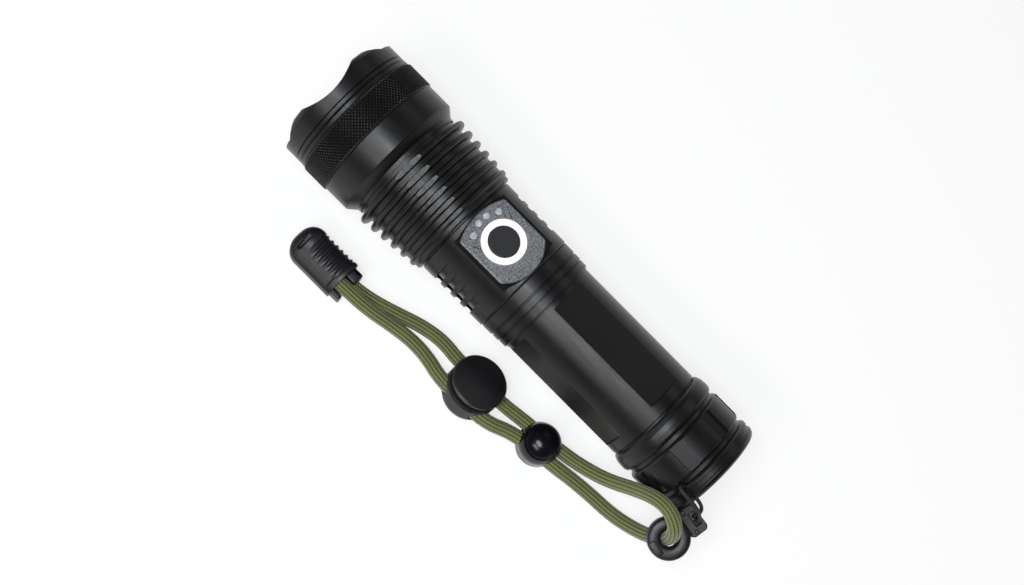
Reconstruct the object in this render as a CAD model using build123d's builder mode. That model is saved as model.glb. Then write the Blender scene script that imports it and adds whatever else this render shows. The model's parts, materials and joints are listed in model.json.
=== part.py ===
from build123d import *
from math import asin, atan2, cos, degrees, radians, sin, tan
import os

# Zooming flashlight with a side switch and a cord wrist lanyard, as an assembly of separate pieces.
# The light lies along X with its beam towards +X. The switch faces +Z, and the lanyard lies at the
# +Y side. Z = 0 is the surface that the head's widest band and the lanyard rest on. All in mm.

os.makedirs("parts", exist_ok=True)

# ---------------------------------------------------------------- driving dimensions
HEAD_R = 21.1            # knurled band, the widest part
TUBE_R = 15.75           # battery tube
AXIS_Z = HEAD_R          # height of the optical axis
FRONT_X = 77.35          # bezel crests
TAIL_X = -77.35          # flat tail end
ZOOM_TRAVEL = 18.0       # how far the head slides forward
RUN_GAP = 0.10           # radial clearance of a sliding fit
HEAD_TURN = 17.0         # head's angle about the axis, from the switch towards +Y

# stations along the light
BEZEL_X = 69.4           # joint of bezel and head
KNURL_X = (58.95, 67.85)
BAND_X = 50.75           # rear edge of the smooth band
CONE_X = 48.35           # rear edge of the cone behind it
SLEEVE_X = 24.05         # rear edge of the finned sleeve
HOUSING_X = (-0.25, 23.55)
TUBE_X = (-53.4, -0.3)
SPIGOT_X = -63.5         # end of the tube's thread inside the tail cap

# head
BAND_R = 21.0
BEZEL_R = 20.9
SLEEVE_ROOT_R = 18.2
SLEEVE_BORE_R = 17.0
SLEEVE_LIP_R = 16.2
SLEEVE_LIP_X = 30.0
SCALLOP_COUNT = 5
SCALLOP_R = 17.7
SCALLOP_DEPTH = 2.9
FIN_COUNT = 6
FIN_FIRST_X = 44.95
FIN_PITCH = 3.68
FIN_BASE = 2.1
FIN_TIP = 1.5
FIN_R = (20.5, 19.0)     # first and last crest

# lens
LENS_R = 18.2
LENS_X = (62.0, 65.0)    # flat rear face and front of the edge flange
LENS_CROWN = 8.3

# neck
NECK_R = SLEEVE_LIP_R - RUN_GAP
NECK_BORE_R = 13.1
NECK_FLANGE_R = SLEEVE_BORE_R - RUN_GAP
NECK_FLANGE_X = (SLEEVE_LIP_X + ZOOM_TRAVEL + 0.3, 52.3)
NECK_REAR_X = 21.7
SPIGOT_NECK_R = (12.2, 13.0)   # the neck's rear end inside the switch housing

# switch section
HOUSING_R = 17.0
HOUSING_BORE_R = 12.2
DRIVER_R = 13.05         # seat of the driver board in the housing's rear
PLATE_TOP = 14.6         # above the axis
PLATE_THICK = 1.0
BUTTON_X = 11.85
RING_R = (4.75, 6.55)
RING_PROUD = 0.55
PAD_R = 4.6
INDICATOR_ARC_R = 8.75
INDICATOR_ANGLES = (-36.0, -10.5, 10.5, 36.0)
INDICATOR_R = 1.05
SLOT_X = (17.65, 13.75, 9.85, 5.85)
SLOT_WIDE = 2.2
SLOT_FLOOR_R = 15.4

# battery and tube
CELL_R = 13.1
CELL_X = (-68.0, -3.6)
TUBE_BORE_R = 13.45
FLAT_X = (-49.95, -11.25)
FLAT_TURN = -8.0
FLAT_DEPTH_R = 14.6
FLAT_CORNER = 1.6

# tail cap
CAP_X = -53.95
CAP_R = 17.1
CAP_PAD_R = 17.0
CAP_RECESS_R = 16.1
CAP_RECESS_COUNT = 8
CAP_RECESS_WIDE = 3.8
CAP_GROOVE_R = 15.9
SPIGOT_R = 14.6
LOOP_HOLE_TURN = 49.0
LOOP_HOLE_AT_R = 15.3
LOOP_HOLE_R = 1.2

# lanyard
CORD_R = 2.1
STRING_R = 0.55

AXIS_POINT = (0, 0, AXIS_Z)
OPTICAL_AXIS = Axis(AXIS_POINT, (1, 0, 0))
AXIS_PLANE = Plane(origin=AXIS_POINT, x_dir=(1, 0, 0), z_dir=(0, -1, 0))


# ---------------------------------------------------------------- shared helpers
def cross_plane(x):
    """Plane across the light at x: local x is +Y, local y is +Z, normal is +X."""
    return Plane(origin=(x, 0, AXIS_Z), x_dir=(0, 1, 0), z_dir=(1, 0, 0))


def turned_plane(x, turn, radius):
    """Plane tangent to a circle about the axis: normal outward, local x along +X."""
    out = Vector(0, sin(radians(turn)), cos(radians(turn)))
    return Plane(origin=Vector(x, 0, AXIS_Z) + out * radius, x_dir=(1, 0, 0), z_dir=out)


def turn(*outline, mode=Mode.ADD):
    """Revolve a closed (x, radius) outline about the optical axis."""
    with BuildSketch(AXIS_PLANE) as section:
        with BuildLine():
            Polyline(*outline, close=True)
        make_face()
    revolve(section.sketch, axis=OPTICAL_AXIS, mode=mode)


def turn_about(base, *outline, mode=Mode.ADD):
    """Revolve a closed (radius, height) outline about a plane's normal."""
    with BuildSketch(Plane(origin=base.origin, x_dir=base.x_dir, z_dir=-base.y_dir)) as section:
        with BuildLine():
            Polyline(*outline, close=True)
        make_face()
    revolve(section.sketch, axis=Axis(base.origin, base.z_dir), mode=mode)


def o_ring(x, radius, wire_r):
    """Rubber ring of round section about the optical axis."""
    with BuildSketch(AXIS_PLANE) as section:
        with Locations((x, radius)):
            Circle(wire_r)
    revolve(section.sketch, axis=OPTICAL_AXIS)


def coil_spring(base, top_r, base_r, height, turns, wire_r):
    """Round-wire spring that stands on a plane, on a plain or tapering helix."""
    cone = degrees(atan2(top_r - base_r, height))
    with BuildLine() as path:
        Helix(pitch=height / turns, height=height, radius=base_r, center=base.origin,
              direction=base.z_dir, cone_angle=cone)
    with BuildSketch(Plane(origin=path.line @ 0, z_dir=path.line % 0)) as wire:
        Circle(wire_r)
    sweep(wire.sketch, path=path.line)


def cord_tube(points, wire_r, name):
    """Tube along straight runs joined by the largest tangent arcs, with its radii printed."""
    corners = [Vector(*point) for point in points]
    radii = []
    for before, corner, after in zip(corners, corners[1:], corners[2:]):
        turn_angle = (corner - before).get_angle(after - corner)
        shorter = min((corner - before).length, (after - corner).length)
        radii.append(0.45 * shorter / tan(radians(turn_angle) / 2))
    with BuildLine() as route:
        FilletPolyline(*corners, radius=radii)
    with BuildSketch(Plane(origin=route.line @ 0, z_dir=route.line % 0)) as section:
        Circle(wire_r)
    sweep(section.sketch, path=route.line)
    length = sum(edge.length for edge in route.edges())
    print(name, "radii", [round(r, 1) for r in radii], "length", round(length, 1),
          "section x length", round(section.sketch.area * length, 1))


def finish(builder, label):
    """Name a finished piece and write its STEP file."""
    builder.part.label = label
    export_step(builder.part, f"parts/{label}.step")
    print(label, "volume", round(builder.part.volume, 1), "solids", len(builder.part.solids()))


# ---------------------------------------------------------------- head
with BuildPart() as bezel:
    turn(
        (66.2, 18.6), (66.2, 19.35), (BEZEL_X, 19.35), (BEZEL_X, 20.6), (BEZEL_X + 0.35, BEZEL_R),
        (70.75, BEZEL_R), (70.95, 20.6), (71.15, BEZEL_R), (75.75, BEZEL_R), (76.7, 20.45),
        (FRONT_X, 19.75), (FRONT_X, 19.1), (71.5, 17.6), (69.2, 17.6),
    )
    scallop_axis_x = FRONT_X - SCALLOP_DEPTH + SCALLOP_R
    for i in range(SCALLOP_COUNT):
        scallop_turn = HEAD_TURN + i * 360 / SCALLOP_COUNT
        with BuildSketch(turned_plane(scallop_axis_x, scallop_turn, 10.0)):
            Circle(SCALLOP_R)
        extrude(amount=15.0, mode=Mode.SUBTRACT)
finish(bezel, "bezel")

with BuildPart() as head_sleeve:
    turn(
        (SLEEVE_X, SLEEVE_LIP_R), (SLEEVE_X, 17.9), (SLEEVE_X + 0.3, SLEEVE_ROOT_R), (47.2, SLEEVE_ROOT_R),
        (47.2, 18.7), (CONE_X, 18.7), (BAND_X, 20.75), (BAND_X + 0.4, BAND_R),
        (KNURL_X[0] - 0.2, BAND_R), (KNURL_X[0], 20.85), (KNURL_X[0] + 0.2, HEAD_R),
        (KNURL_X[1] - 0.2, HEAD_R), (KNURL_X[1], 20.85), (KNURL_X[1] + 0.2, BAND_R),
        (BEZEL_X - 0.35, BAND_R), (BEZEL_X - 0.05, 20.7), (BEZEL_X - 0.05, 19.4), (61.0, 19.4),
        (61.0, 17.4), (57.5, 17.4), (54.5, SLEEVE_BORE_R), (SLEEVE_LIP_X, SLEEVE_BORE_R),
        (SLEEVE_LIP_X - 0.6, SLEEVE_LIP_R),
    )
    for i in range(FIN_COUNT):
        fin_x = FIN_FIRST_X - i * FIN_PITCH
        crest_r = FIN_R[0] + (FIN_R[1] - FIN_R[0]) * i / (FIN_COUNT - 1)
        turn(
            (fin_x - FIN_BASE / 2, SLEEVE_ROOT_R - 0.3), (fin_x - FIN_BASE / 2, SLEEVE_ROOT_R + 0.1),
            (fin_x - FIN_TIP / 2, crest_r - 0.35), (fin_x - FIN_TIP / 2 + 0.35, crest_r),
            (fin_x + FIN_TIP / 2 - 0.35, crest_r), (fin_x + FIN_TIP / 2, crest_r - 0.35),
            (fin_x + FIN_BASE / 2, SLEEVE_ROOT_R + 0.1), (fin_x + FIN_BASE / 2, SLEEVE_ROOT_R - 0.3),
        )
    # two milled flats run along the fins, following their taper
    for side in (0, 180):
        out = Vector(0, sin(radians(HEAD_TURN + side)), cos(radians(HEAD_TURN + side)))
        slope = Vector(1, 0, 0) + out * 0.06
        flat_plane = Plane(origin=Vector(35.7, 0, AXIS_Z) + out * 19.4, x_dir=slope, z_dir=slope.cross(
            out.cross(Vector(1, 0, 0))))
        with BuildSketch(flat_plane):
            Rectangle(21.6, 16)
        extrude(amount=3 if flat_plane.z_dir.dot(out) > 0 else -3, mode=Mode.SUBTRACT)
finish(head_sleeve, "head_sleeve")

with BuildPart() as lens:
    crown_x = LENS_X[1] + LENS_CROWN
    crown_edge = LENS_R - 0.9
    crown_r = (crown_edge**2 + LENS_CROWN**2) / (2 * LENS_CROWN)
    crown_half = asin(crown_edge / crown_r) / 2
    with BuildSketch(AXIS_PLANE):
        with BuildLine():
            Line((LENS_X[0], 0), (LENS_X[0], LENS_R))
            Line((LENS_X[0], LENS_R), (LENS_X[1], LENS_R))
            Line((LENS_X[1], LENS_R), (LENS_X[1], crown_edge))
            ThreePointArc(
                (LENS_X[1], crown_edge),
                (crown_x - crown_r * (1 - cos(crown_half)), crown_r * sin(crown_half)),
                (crown_x, 0),
            )
            Line((crown_x, 0), (LENS_X[0], 0))
        make_face()
    revolve(axis=OPTICAL_AXIS)
finish(lens, "lens")

with BuildPart() as lens_gasket:
    turn((LENS_X[0] - 0.95, 17.45), (LENS_X[0] - 0.95, 19.3), (LENS_X[0], 19.3), (LENS_X[0], 17.45))
finish(lens_gasket, "lens_gasket")

with BuildPart() as lens_retaining_ring:
    turn((LENS_X[1], 17.4), (LENS_X[1], 19.3), (66.2, 19.3), (66.2, 17.4))
finish(lens_retaining_ring, "lens_retaining_ring")

# ---------------------------------------------------------------- neck and light engine
USB_X = 33.5             # socket in the neck, bared when the head slides forward
USB_SIZE = (3.4, 9.2)    # opening along X and across
USB_TOP = 15.3           # above the axis, below the neck's surface at the socket's corners
GROOVE_X = (49.35, 51.25)
with BuildPart() as neck_tube:
    groove_r = NECK_FLANGE_R - 1.45
    turn(
        (NECK_REAR_X, SPIGOT_NECK_R[0]), (NECK_REAR_X, SPIGOT_NECK_R[1]),
        (HOUSING_X[1], SPIGOT_NECK_R[1]), (HOUSING_X[1], NECK_R),
        (NECK_FLANGE_X[0], NECK_R), (NECK_FLANGE_X[0], NECK_FLANGE_R),
        (GROOVE_X[0] - 0.75, NECK_FLANGE_R), (GROOVE_X[0] - 0.75, groove_r),
        (GROOVE_X[0] + 0.75, groove_r), (GROOVE_X[0] + 0.75, NECK_FLANGE_R),
        (GROOVE_X[1] - 0.75, NECK_FLANGE_R), (GROOVE_X[1] - 0.75, groove_r),
        (GROOVE_X[1] + 0.75, groove_r), (GROOVE_X[1] + 0.75, NECK_FLANGE_R),
        (NECK_FLANGE_X[1], NECK_FLANGE_R), (NECK_FLANGE_X[1], 12.0), (51.0, 12.0), (51.0, 0),
        (46.5, 0), (46.5, NECK_BORE_R), (24.5, NECK_BORE_R), (24.5, SPIGOT_NECK_R[0]),
    )
    with BuildSketch(turned_plane(USB_X, 0, 10.0)):
        RectangleRounded(USB_SIZE[0] + 0.1, USB_SIZE[1] + 0.1, 1.55)
    extrude(amount=8.0, mode=Mode.SUBTRACT)
    # two wire holes through the front wall
    with BuildSketch(cross_plane(45.0)):
        with Locations((-9.5, 0), (9.5, 0)):
            Circle(1.0)
    extrude(amount=8.0, mode=Mode.SUBTRACT)
finish(neck_tube, "neck_tube")

with BuildPart() as neck_o_rings:
    for groove_x in GROOVE_X:
        o_ring(groove_x, NECK_FLANGE_R - 0.72, 0.7)
finish(neck_o_rings, "neck_o_rings")

with BuildPart() as led_board:
    with BuildSketch(cross_plane(51.0)):
        Circle(8.0)
        with PolarLocations(8.0, 2, start_angle=90):
            Circle(1.3, mode=Mode.SUBTRACT)
    extrude(amount=1.5)
finish(led_board, "led_board")

with BuildPart() as led_emitter:
    with BuildSketch(cross_plane(52.5)):
        Rectangle(5.2, 5.2)
    extrude(amount=0.6)
    with BuildSketch(cross_plane(53.1)):
        Rectangle(4.2, 4.2)
    extrude(amount=0.35)
finish(led_emitter, "led_emitter")

with BuildPart() as led_centring_ring:
    turn((52.5, 4.3), (52.5, 11.5), (53.2, 11.5), (53.6, 10.8), (53.6, 5.2), (53.2, 4.3))
finish(led_centring_ring, "led_centring_ring")

with BuildPart() as led_screws:
    with BuildSketch(cross_plane(51.0)):
        with Locations((-9.9, 0), (9.9, 0)):
            Circle(0.8)
    extrude(amount=1.5)
finish(led_screws, "led_screws")

with BuildPart() as usb_port:
    with BuildSketch(turned_plane(USB_X, 0, 9.6)):
        RectangleRounded(*USB_SIZE, 1.5)
        RectangleRounded(USB_SIZE[0] - 0.6, USB_SIZE[1] - 0.6, 1.3, mode=Mode.SUBTRACT)
    extrude(amount=USB_TOP - 9.6)
    with BuildSketch(turned_plane(USB_X, 0, 9.0)):
        RectangleRounded(*USB_SIZE, 1.5)
    extrude(amount=0.6)
    with BuildSketch(turned_plane(USB_X, 0, 9.6)):
        Rectangle(0.8, 6.6)
    extrude(amount=USB_TOP - 10.6)
finish(usb_port, "usb_port")

with BuildPart() as charge_board:
    with BuildSketch(turned_plane(USB_X, 0, 7.8)):
        Rectangle(20.0, 15.0)
    extrude(amount=1.2)
finish(charge_board, "charge_board")

# ---------------------------------------------------------------- switch section
with BuildPart() as side_slots:
    with BuildSketch(Plane.XZ.offset(-25.0)):
        with Locations(*[(x, AXIS_Z) for x in SLOT_X]):
            SlotOverall(18.6, SLOT_WIDE, rotation=90)
    extrude(amount=50.0)
    turn((-5, 0), (-5, SLOT_FLOOR_R), (30, SLOT_FLOOR_R), (30, 0), mode=Mode.SUBTRACT)

with BuildPart() as plate_outline:
    with BuildSketch(Plane.XY.offset(AXIS_Z + PLATE_TOP - PLATE_THICK)):
        with BuildLine():
            Polyline((1.85, 12), (1.85, 8.65))
            ThreePointArc((1.85, 8.65), (0.1, 0), (1.85, -8.65))
            Polyline((1.85, -8.65), (1.85, -12), (21.55, -12), (21.55, -8.65))
            ThreePointArc((21.55, -8.65), (22.75, 0), (21.55, 8.65))
            Polyline((21.55, 8.65), (21.55, 12), (1.85, 12))
        make_face()
    extrude(amount=6.0)

indicator_spots = [
    (INDICATOR_ARC_R * cos(radians(angle)), INDICATOR_ARC_R * sin(radians(angle)))
    for angle in INDICATOR_ANGLES
]

with BuildPart() as switch_housing:
    turn(
        (HOUSING_X[0], DRIVER_R), (HOUSING_X[0], HOUSING_R - 0.3), (HOUSING_X[0] + 0.3, HOUSING_R),
        (HOUSING_X[1] - 0.3, HOUSING_R), (HOUSING_X[1], HOUSING_R - 0.3),
        (HOUSING_X[1], SPIGOT_NECK_R[1]), (NECK_REAR_X, SPIGOT_NECK_R[1]),
        (NECK_REAR_X, HOUSING_BORE_R), (3.2, HOUSING_BORE_R), (3.2, DRIVER_R),
    )
    add(side_slots.part, mode=Mode.SUBTRACT)
    add(plate_outline.part, mode=Mode.SUBTRACT)
    with BuildSketch(Plane.XY.offset(AXIS_Z + 9.0)):
        with Locations((BUTTON_X, 0)):
            Circle(RING_R[1] + 0.05)
        with Locations((BUTTON_X, 0)):
            with Locations(*indicator_spots):
                Circle(0.85)
    extrude(amount=8.0, mode=Mode.SUBTRACT)
finish(switch_housing, "switch_housing")

with BuildPart() as switch_plate:
    add(plate_outline.part)
    with BuildSketch(Plane.XY.offset(AXIS_Z + PLATE_TOP)):
        with Locations((BUTTON_X, 0)):
            Rectangle(60, 60)
    extrude(amount=10.0, mode=Mode.SUBTRACT)
    turn(
        (-10, HOUSING_R), (-10, 40), (40, 40), (40, HOUSING_R), mode=Mode.SUBTRACT,
    )
    with BuildSketch(Plane.XY.offset(AXIS_Z + 9.0)):
        with Locations((BUTTON_X, 0)):
            Circle(RING_R[1] + 0.05)
            with Locations(*indicator_spots):
                Circle(0.85)
    extrude(amount=8.0, mode=Mode.SUBTRACT)
finish(switch_plate, "switch_plate")

RING_Z = AXIS_Z + PLATE_TOP + RING_PROUD
with BuildPart() as switch_ring:
    with BuildSketch(Plane.XY.offset(RING_Z - 2.6)):
        with Locations((BUTTON_X, 0)):
            Circle(RING_R[1])
            Circle(RING_R[0], mode=Mode.SUBTRACT)
    extrude(amount=2.6)
    fillet(switch_ring.faces().sort_by(Axis.Z)[-1].edges(), 0.3)
finish(switch_ring, "switch_ring")

with BuildPart() as switch_button:
    with BuildSketch(Plane.XY.offset(RING_Z - 2.6)):
        with Locations((BUTTON_X, 0)):
            Circle(PAD_R)
    extrude(amount=2.7)
    fillet(switch_button.faces().sort_by(Axis.Z)[-1].edges(), 0.35)
    with BuildSketch(Plane.XY.offset(RING_Z - 3.4)):
        with Locations((BUTTON_X, 0)):
            Circle(1.6)
    extrude(amount=0.8)
finish(switch_button, "switch_button")

with BuildPart() as battery_indicators:
    for angle in INDICATOR_ANGLES:
        lamp_x = BUTTON_X + INDICATOR_ARC_R * cos(radians(angle))
        lamp_y = INDICATOR_ARC_R * sin(radians(angle))
        with BuildSketch(Plane.XY.offset(AXIS_Z + 11.6)):
            with Locations((lamp_x, lamp_y)):
                Circle(0.8)
        extrude(amount=PLATE_TOP - 11.6)
        with BuildSketch(Plane.XY.offset(AXIS_Z + PLATE_TOP)):
            with Locations((lamp_x, lamp_y)):
                Circle(INDICATOR_R)
        extrude(amount=0.45)
    fillet(battery_indicators.faces().group_by(Axis.Z)[-1].edges(), 0.3)
finish(battery_indicators, "battery_indicators")

SWITCH_BOARD_Z = AXIS_Z + 7.2
with BuildPart() as switch_board:
    with BuildSketch(Plane.XY.offset(SWITCH_BOARD_Z)):
        with Locations((BUTTON_X - 3.0, 0)):
            Rectangle(11.0, 15.0)
    extrude(amount=1.0)
finish(switch_board, "switch_board")

with BuildPart() as tact_switch:
    with BuildSketch(Plane.XY.offset(SWITCH_BOARD_Z + 1.0)):
        with Locations((BUTTON_X, 0)):
            Rectangle(4.6, 6.0)
    extrude(amount=2.2)
    with BuildSketch(Plane.XY.offset(SWITCH_BOARD_Z + 3.2)):
        with Locations((BUTTON_X, 0)):
            Circle(1.3)
    extrude(amount=0.3)
finish(tact_switch, "tact_switch")

# ---------------------------------------------------------------- driver
with BuildPart() as driver_board:
    with BuildSketch(cross_plane(0.4)):
        Circle(DRIVER_R - 0.1)
    extrude(amount=1.4)
finish(driver_board, "driver_board")

with BuildPart() as driver_parts:
    with BuildSketch(cross_plane(1.8)):
        with Locations((-5.5, -4.5)):
            Rectangle(6.0, 6.0)
    extrude(amount=3.2)
    with BuildSketch(cross_plane(1.8)):
        with Locations((4.5, -5.5)):
            Rectangle(5.0, 4.2)
        with Locations((1.5, 0.5), (-3.5, 1.0)):
            Rectangle(2.4, 1.4)
    extrude(amount=1.5)
finish(driver_parts, "driver_parts")

with BuildPart() as battery_contact:
    with BuildSketch(cross_plane(-1.2)):
        Circle(3.0)
    extrude(amount=1.6)
    with BuildSketch(cross_plane(-2.4)):
        Circle(1.8)
    extrude(amount=1.2)
finish(battery_contact, "battery_contact")

# ---------------------------------------------------------------- battery tube and cell
with BuildPart() as battery_tube:
    turn(
        (TUBE_X[1], TUBE_BORE_R), (TUBE_X[1], 16.5), (-0.55, 16.8), (-3.95, 16.8), (-4.15, 16.45),
        (-4.45, 16.45), (-4.65, 16.7), (-6.6, 16.7), (-6.75, 16.35), (-6.95, 16.35), (-7.1, 16.55),
        (-9.35, 16.5), (-9.6, 16.0), (-9.9, 16.0), (-10.05, TUBE_R), (TUBE_X[0] + 0.3, TUBE_R),
        (TUBE_X[0], TUBE_R - 0.3), (TUBE_X[0], 15.0), (-54.2, 15.0), (-54.2, 14.1), (-55.8, 14.1),
        (-55.8, SPIGOT_R), (SPIGOT_X + 0.4, SPIGOT_R), (SPIGOT_X, SPIGOT_R - 0.4), (SPIGOT_X, TUBE_BORE_R),
    )
    flat_mid = (FLAT_X[0] + FLAT_X[1]) / 2
    for i in range(4):
        with BuildSketch(turned_plane(flat_mid, FLAT_TURN + 90 * i, FLAT_DEPTH_R)):
            RectangleRounded(FLAT_X[1] - FLAT_X[0], 13.0, FLAT_CORNER)
        extrude(amount=3.0, mode=Mode.SUBTRACT)
finish(battery_tube, "battery_tube")

with BuildPart() as tail_o_ring:
    o_ring(-55.0, 14.1 + 0.66, 0.65)
finish(tail_o_ring, "tail_o_ring")

with BuildPart() as battery_cell:
    turn(
        (CELL_X[0], 0), (CELL_X[0], CELL_R - 0.9), (CELL_X[0] + 0.9, CELL_R), (CELL_X[1] - 0.9, CELL_R),
        (CELL_X[1], CELL_R - 0.9), (CELL_X[1], 4.2), (CELL_X[1] - 0.6, 4.0), (CELL_X[1] - 0.6, 0),
    )
finish(battery_cell, "battery_cell")

with BuildPart() as battery_cap:
    turn((CELL_X[1] - 0.6, 0), (CELL_X[1] - 0.6, 3.9), (CELL_X[1] + 0.8, 3.2), (CELL_X[1] + 1.1, 2.8),
         (CELL_X[1] + 1.1, 0))
finish(battery_cap, "battery_cap")

# ---------------------------------------------------------------- tail cap
with BuildPart() as tail_cap:
    turn(
        (CAP_X, 15.1), (CAP_X, 15.9), (-54.5, 16.4), (-55.7, 16.85), (-57.2, CAP_PAD_R),
        (-58.6, CAP_PAD_R), (-59.3, 16.7), (-59.75, CAP_GROOVE_R), (-60.9, CAP_GROOVE_R),
        (-61.2, 16.5), (-61.9, CAP_PAD_R), (-69.9, CAP_PAD_R), (-70.6, 16.5), (-70.9, CAP_GROOVE_R),
        (-72.0, CAP_GROOVE_R), (-72.3, 16.6), (-72.8, CAP_R), (-73.6, CAP_R), (-73.8, 16.85),
        (-75.0, 16.85), (-75.2, CAP_R), (-75.7, CAP_R), (-76.6, 16.75), (-77.15, 16.1), (TAIL_X, 15.3),
        (TAIL_X, 0), (-74.0, 0), (-74.0, 13.5), (-63.9, 13.5), (-63.9, 14.75), (-56.2, 14.75),
        (-55.9, 15.5), (-54.6, 15.5),
    )
    # recesses between the grip's eight raised pads
    with BuildSketch(cross_plane(-70.2)):
        with PolarLocations((CAP_RECESS_R + 19.0) / 2, CAP_RECESS_COUNT, start_angle=90 - 24.7):
            Rectangle(19.0 - CAP_RECESS_R, CAP_RECESS_WIDE)
    extrude(amount=8.6, mode=Mode.SUBTRACT)
    # lanyard hole through the end flange, with a notch for the string in the groove before it
    with BuildSketch(turned_plane(-71.45, LOOP_HOLE_TURN, LOOP_HOLE_AT_R - LOOP_HOLE_R)):
        RectangleRounded(1.9, 3.2, 0.6)
    extrude(amount=6.0, mode=Mode.SUBTRACT)
    with BuildSketch(cross_plane(TAIL_X - 1)):
        with Locations((LOOP_HOLE_AT_R * sin(radians(LOOP_HOLE_TURN)),
                        LOOP_HOLE_AT_R * cos(radians(LOOP_HOLE_TURN)))):
            Circle(LOOP_HOLE_R)
    extrude(amount=6.4, mode=Mode.SUBTRACT)
finish(tail_cap, "tail_cap")

with BuildPart() as tail_contact_board:
    with BuildSketch(cross_plane(-73.9)):
        Circle(12.6)
    extrude(amount=1.2)
finish(tail_contact_board, "tail_contact_board")

with BuildPart() as tail_retaining_ring:
    turn((-72.7, 11.0), (-72.7, 13.4), (-71.2, 13.4), (-71.2, 11.0))
    with BuildSketch(cross_plane(-72.0)):
        with Locations((-12.2, 0), (12.2, 0)):
            Circle(0.7)
    extrude(amount=1.0, mode=Mode.SUBTRACT)
finish(tail_retaining_ring, "tail_retaining_ring")

with BuildPart() as tail_spring:
    coil_spring(cross_plane(-72.25), 3.2, 8.2, 3.7, 3, 0.42)
finish(tail_spring, "tail_spring")

# ---------------------------------------------------------------- wrist lanyard
# Toggle: a drum that leans towards the light. Two strands pass through it, one each side of the
# plunger's web, and the plunger slides along the drum's axis.
TOGGLE_LEAN = 20.0
TOGGLE_AT = (-11.6, 29.6, 7.62)
TOGGLE_STRAND = (4.5, -1.2)      # sideways and along the drum's axis
TOGGLE_TRAVEL = 1.8
HOLE_R = CORD_R + 0.3
toggle_axis = Vector(0, -sin(radians(TOGGLE_LEAN)), cos(radians(TOGGLE_LEAN)))
TOGGLE = Plane(origin=TOGGLE_AT, x_dir=(1, 0, 0), z_dir=toggle_axis)
TOGGLE_ACROSS = Plane(origin=TOGGLE_AT, x_dir=TOGGLE.y_dir, z_dir=(1, 0, 0))
WEB_FOOT = 0.3                   # lower end of the plunger's web, along the drum's axis
toggle_floor = WEB_FOOT - TOGGLE_TRAVEL - 0.2

with BuildPart() as toggle_body:
    turn_about(
        TOGGLE, (0, -6.2), (4.9, -6.2), (6.6, -5.6), (7.8, -4.4), (8.4, -2.7), (8.4, 1.5), (8.1, 2.0),
        (7.5, 2.2), (6.7, 2.2), (6.7, toggle_floor), (2.4, toggle_floor), (2.4, -5.0), (0, -5.0),
    )
    with BuildSketch(TOGGLE_ACROSS):
        with Locations((TOGGLE_STRAND[0], TOGGLE_STRAND[1]), (-TOGGLE_STRAND[0], TOGGLE_STRAND[1])):
            Circle(HOLE_R)
    extrude(amount=12, both=True, mode=Mode.SUBTRACT)
finish(toggle_body, "toggle_body")

with BuildPart() as toggle_plunger:
    turn_about(
        TOGGLE, (0, 3.1), (6.6, 3.1), (6.6, 4.8), (8.2, 4.8), (8.5, 5.1), (8.5, 5.7), (8.1, 6.1),
        (5.5, 6.7), (2.8, 6.95), (0, 7.0),
    )
    with BuildSketch(TOGGLE.offset(WEB_FOOT)):
        Rectangle(12.4, 4.2)
    extrude(amount=3.2)
finish(toggle_plunger, "toggle_plunger")

with BuildPart() as toggle_spring:
    coil_spring(TOGGLE.offset(-4.6), 1.7, 1.7, 4.4, 4, 0.3)
finish(toggle_spring, "toggle_spring")

# Ball lock: a barrel-shaped ball with a domed button; both strands pass through one oval slot.
BALL_AT = (-36.75, 26.6, 6.25)
BALL_YAW = 5.2
BALL_STRAND = (2.3, 0.6)
BALL_TRAVEL = 1.4
BALL = Plane(origin=BALL_AT, x_dir=(cos(radians(BALL_YAW)), sin(radians(BALL_YAW)), 0), z_dir=(0, 0, 1))
BALL_ACROSS = Plane(origin=BALL_AT, x_dir=BALL.y_dir, z_dir=BALL.x_dir)

with BuildPart() as ball_lock_body:
    with BuildSketch(Plane(origin=BALL_AT, x_dir=BALL.x_dir, z_dir=-BALL.y_dir)):
        with BuildLine():
            Line((0, -6.2), (3.2, -6.2))
            ThreePointArc((3.2, -6.2), (5.75, -4.9), (6.45, -2.2))
            Line((6.45, -2.2), (6.45, 0.9))
            ThreePointArc((6.45, 0.9), (6.2, 2.9), (5.45, 4.7))
            Polyline((5.45, 4.7), (5.2, 4.9), (5.2, -4.2), (0, -4.2), (0, -6.2))
        make_face()
    revolve(axis=Axis(BALL_AT, (0, 0, 1)))
    with BuildSketch(BALL_ACROSS):
        with Locations((0, BALL_STRAND[1])):
            SlotOverall(2 * (BALL_STRAND[0] + HOLE_R), 2 * HOLE_R)
    extrude(amount=12, both=True, mode=Mode.SUBTRACT)
finish(ball_lock_body, "ball_lock_body")

with BuildPart() as ball_lock_button:
    dome_r = (5.1**2 + 2.3**2) / (2 * 2.3)
    dome_half = asin(5.1 / dome_r) / 2
    with BuildSketch(Plane(origin=BALL_AT, x_dir=BALL.x_dir, z_dir=-BALL.y_dir)):
        with BuildLine():
            Polyline((0, 7.9), (0, -2.6), (5.1, -2.6), (5.1, 5.6))
            ThreePointArc(
                (5.1, 5.6), (dome_r * sin(dome_half), 7.9 - dome_r * (1 - cos(dome_half))), (0, 7.9),
            )
        make_face()
    revolve(axis=Axis(BALL_AT, (0, 0, 1)))
    slot_top = BALL_STRAND[1] + HOLE_R + BALL_TRAVEL
    slot_low = BALL_STRAND[1] - HOLE_R
    with BuildSketch(BALL_ACROSS):
        with Locations((0, (slot_top + slot_low) / 2)):
            Rectangle(2 * (BALL_STRAND[0] + HOLE_R) - 0.3, slot_top - slot_low)
    extrude(amount=12, both=True, mode=Mode.SUBTRACT)
finish(ball_lock_button, "ball_lock_button")

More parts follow.
